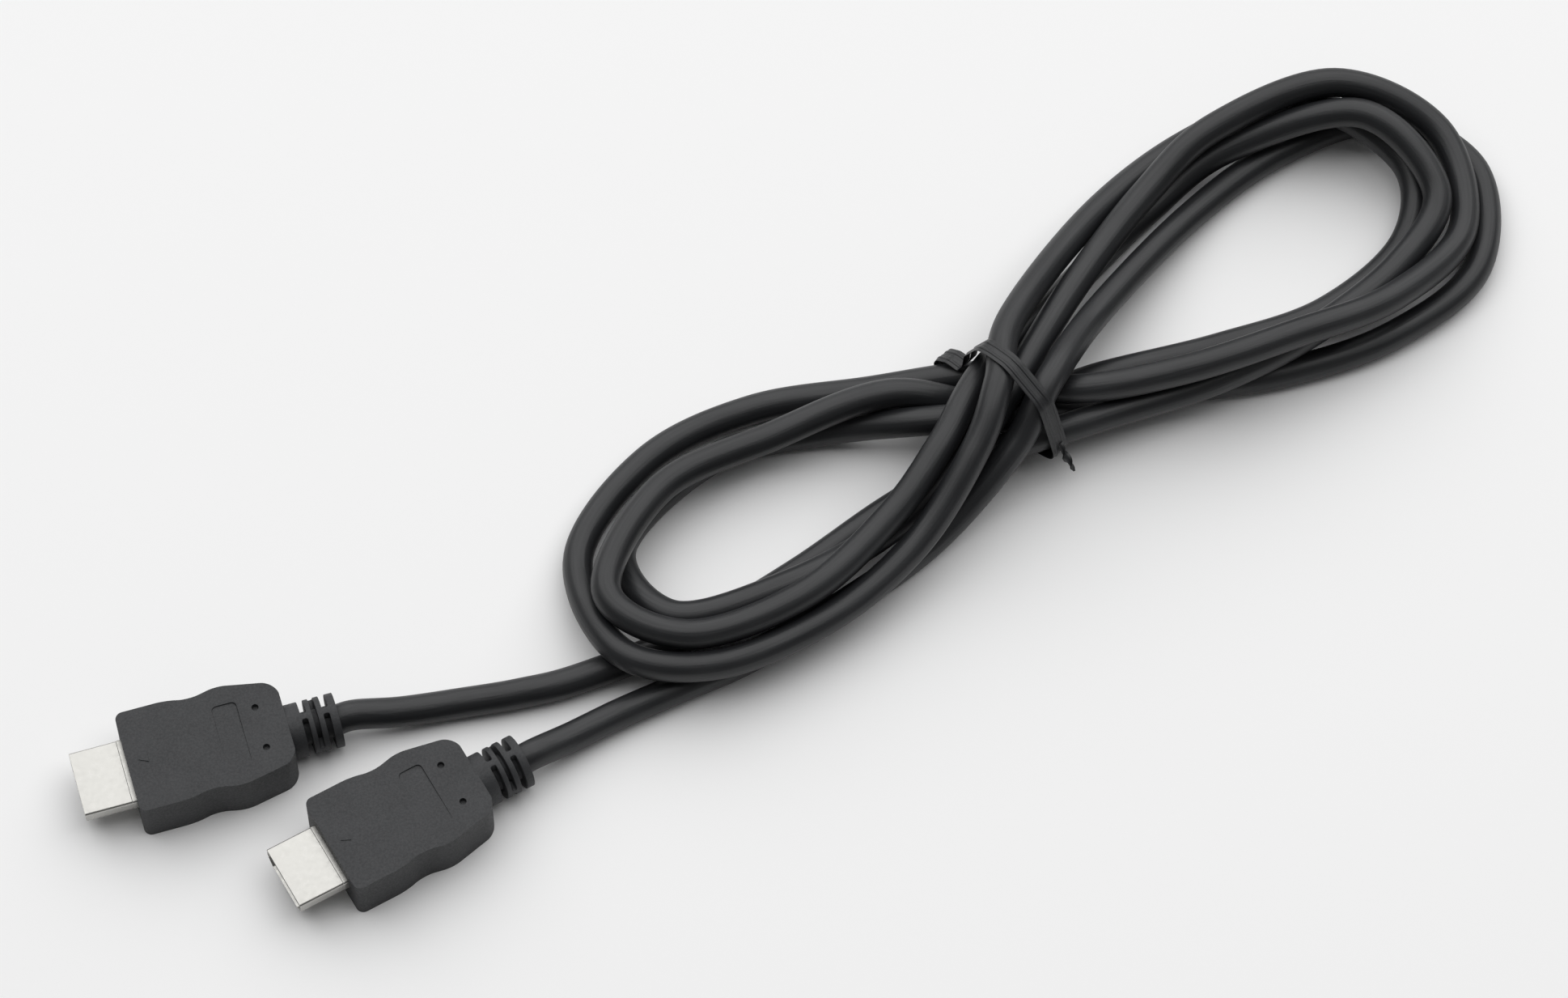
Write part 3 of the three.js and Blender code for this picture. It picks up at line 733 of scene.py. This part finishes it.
# The bundle's outline, which the ribbon lies on: how far across the bundle, and how high.
TIE_INSIDE = [
    (-9.6, 23.4), (-12.4, 17.5), (-12.6, 13.5), (-13.8, 10.1), (-17, 9.6), (-19.6, 7.4),
    (-20.2, 5.2), (-19.5, 3.3), (-17.8, 2.4), (-3.3, 0.5), (-1.5, 0.75), (10, 5.7),
    (11.6, 6.8), (12.3, 8.3), (12.2, 9.8), (8.9, 18.4), (7.7, 20.9), (6.4, 22),
    (-0.8, 25.4), (-2.8, 25.8), (-6.2, 25.1), (-8.6, 24.2),
]
TIE_CORNER = 0.9
TIE_CORE_HEIGHT = 12
RIBBON_HALF = 1.03
# The ribbon's section, in half widths across and millimetres off the bundle.
RIBBON_SECTION = [
    (-1, 0.06), (-0.98, 0.15), (-0.9, 0.18), (-0.34, 0.18), (-0.22, 0.28), (-0.09, 0.33), (0.09, 0.33),
    (0.22, 0.28), (0.34, 0.18), (0.9, 0.18), (0.98, 0.15), (1, 0.06), (0.9, 0.02), (-0.9, 0.02),
]
# Each turn's place along the strands, its lift off them, and the size and start of its sway.
WRAPS = [(0.98, 0.01, 0.1, 0.4), (-0.93, 0.16, 0.12, 2.2)]
SWAY_WAVES = 2
TWIST_START = Vector((12, 0, 10.6))
TWIST_END = Vector((16.6, 0, 5.5))
TWIST_TURN = math.radians(400)
TWIST_STEPS = 40
TWIST_SIZE = 0.85
TWIST_TAPER = 0.3
TWIST_TAPER_BEND = 0.6
TWIST_POINT = 0.12
TWIST_OFFSET = 0.08
TIE_COLOUR = "1e1f21"
TIE_ROUGHNESS = 0.42
TIE_DULLNESS = (0.34, 0.52)
TIE_DRAG = 2400
TIE_DRAG_DEPTH = 0.02


def sweep(bm, frames, closed):
    """The ribbon through frames, each an origin, a side way and an outward way."""
    rings = []
    for origin, side, out in frames:
        rings.append([bm.verts.new(origin + side * RIBBON_HALF * a + out * b) for a, b in RIBBON_SECTION])
    pairs = list(zip(rings, rings[1:]))
    if closed:
        pairs.append((rings[-1], rings[0]))
    else:
        bm.faces.new(rings[0])
        bm.faces.new(rings[-1])
    for ring, after in pairs:
        for index in range(len(ring)):
            following = (index + 1) % len(ring)
            bm.faces.new([ring[index], ring[following], after[following], after[index]])


def wrap_frames(shift, lift, sway, phase):
    """The frames of one turn round the strands, moved along them by its shift and swaying a little."""
    outline = bmesh.new()
    outline.faces.new([outline.verts.new((across, up, 0)) for across, up in TIE_INSIDE])
    bmesh.ops.bevel(
        outline, geom=outline.verts[:], offset=TIE_CORNER, segments=ROUND_STEPS, profile=0.5,
        affect="VERTICES", material=-1, clamp_overlap=True,
    )
    corners = [v.co.copy() for v in outline.faces[:][0].verts]
    outline.free()
    along = Vector((0, 1, 0))
    frames = []
    for index, at in enumerate(corners):
        ahead = corners[(index + 1) % len(corners)] - corners[index - 1]
        out = Vector((ahead.y, 0, -ahead.x)).normalized()
        if out.dot(Vector((at.x, 0, at.y - TIE_CORE_HEIGHT))) < 0:
            out = -out
        drift = shift + sway * math.sin(2 * math.pi * SWAY_WAVES * index / len(corners) + phase)
        frames.append((Vector((at.x, 0, at.y)) + along * drift + out * lift, along, out))
    return frames


def twist_frames(half_turn):
    """The frames of one of the two twisted ends. It narrows to a point."""
    way = (TWIST_END - TWIST_START).normalized()
    along = Vector((0, 1, 0))
    up = way.cross(along)
    frames = []
    for step in range(TWIST_STEPS + 1):
        part = step / TWIST_STEPS
        angle = half_turn + TWIST_TURN * part
        size = TWIST_SIZE * min(max((1 - part) / TWIST_TAPER, TWIST_POINT), 1) ** TWIST_TAPER_BEND
        side = (along * math.cos(angle) + up * math.sin(angle)) * size
        out = (up * math.cos(angle) - along * math.sin(angle)) * size
        frames.append((TWIST_START.lerp(TWIST_END, part) + out * TWIST_OFFSET, side, out))
    return frames


tie_shape = bmesh.new()
for wrap in WRAPS:
    sweep(tie_shape, wrap_frames(*wrap), True)
for half_turn in (0, math.pi):
    sweep(tie_shape, twist_frames(half_turn), False)
tie_mesh = finished(object_of(tie_shape, "tie_shape"))
tie_plastic = Finish("tie_plastic", TIE_COLOUR, TIE_ROUGHNESS)
tie_drag = tie_plastic.noise(tie_plastic.coordinates(), TIE_DRAG, detail=3)
tie_plastic.feed(tie_plastic.spread(tie_drag, *TIE_DULLNESS), "Roughness")
tie_plastic.feed(tie_plastic.relief(tie_drag, TIE_DRAG_DEPTH), "Normal")
tie_laid = Matrix.Translation(TIE_MIDDLE - OUTLINE_MIDDLE) @ Matrix.Rotation(TIE_TURN, 4, "Z")
tie = piece_of(
    tie_mesh, "twist_tie_ribbon", Matrix.Scale(MM, 4) @ tie_laid, tie_plastic.material,
    "twist_tie",
)

# Floor, lights and surroundings. A pale matt table under one wide soft lamp behind and above the lead,
# with a little light from all round.
FLOOR_SIDE = 6
TABLE_COLOUR = "f8f8f8"
TABLE_ROUGHNESS = 0.9
LAMP_PLACE = Vector((0, 1.2, 2.1))
LAMP_WIDTH = 6
LAMP_DEPTH = 4.6
LAMP_POWER = 140
SURROUNDINGS_COLOUR = "ffffff"
SURROUNDINGS_STRENGTH = 0.12

bpy.ops.mesh.primitive_plane_add(size=FLOOR_SIDE, location=(0, 0, 0))
floor = bpy.context.object
floor.name = "floor"
table = Finish("table", TABLE_COLOUR, TABLE_ROUGHNESS)
floor.data.materials.append(table.material)

lamp = bpy.data.objects.new("key_lamp", bpy.data.lights.new("key_lamp", "AREA"))
lamp.data.shape = "RECTANGLE"
lamp.data.size = LAMP_WIDTH
lamp.data.size_y = LAMP_DEPTH
lamp.data.energy = LAMP_POWER
lamp.location = LAMP_PLACE
lamp.rotation_mode = "QUATERNION"
lamp.rotation_quaternion = (-LAMP_PLACE).to_track_quat("-Z", "Y")
bpy.context.scene.collection.objects.link(lamp)

world = bpy.data.worlds.new("surroundings")
world.use_nodes = True
background = world.node_tree.nodes["Background"]
background.inputs["Color"].default_value = linear(SURROUNDINGS_COLOUR)
background.inputs["Strength"].default_value = SURROUNDINGS_STRENGTH
bpy.context.scene.world = world
bpy.context.scene.view_settings.view_transform = "Standard"
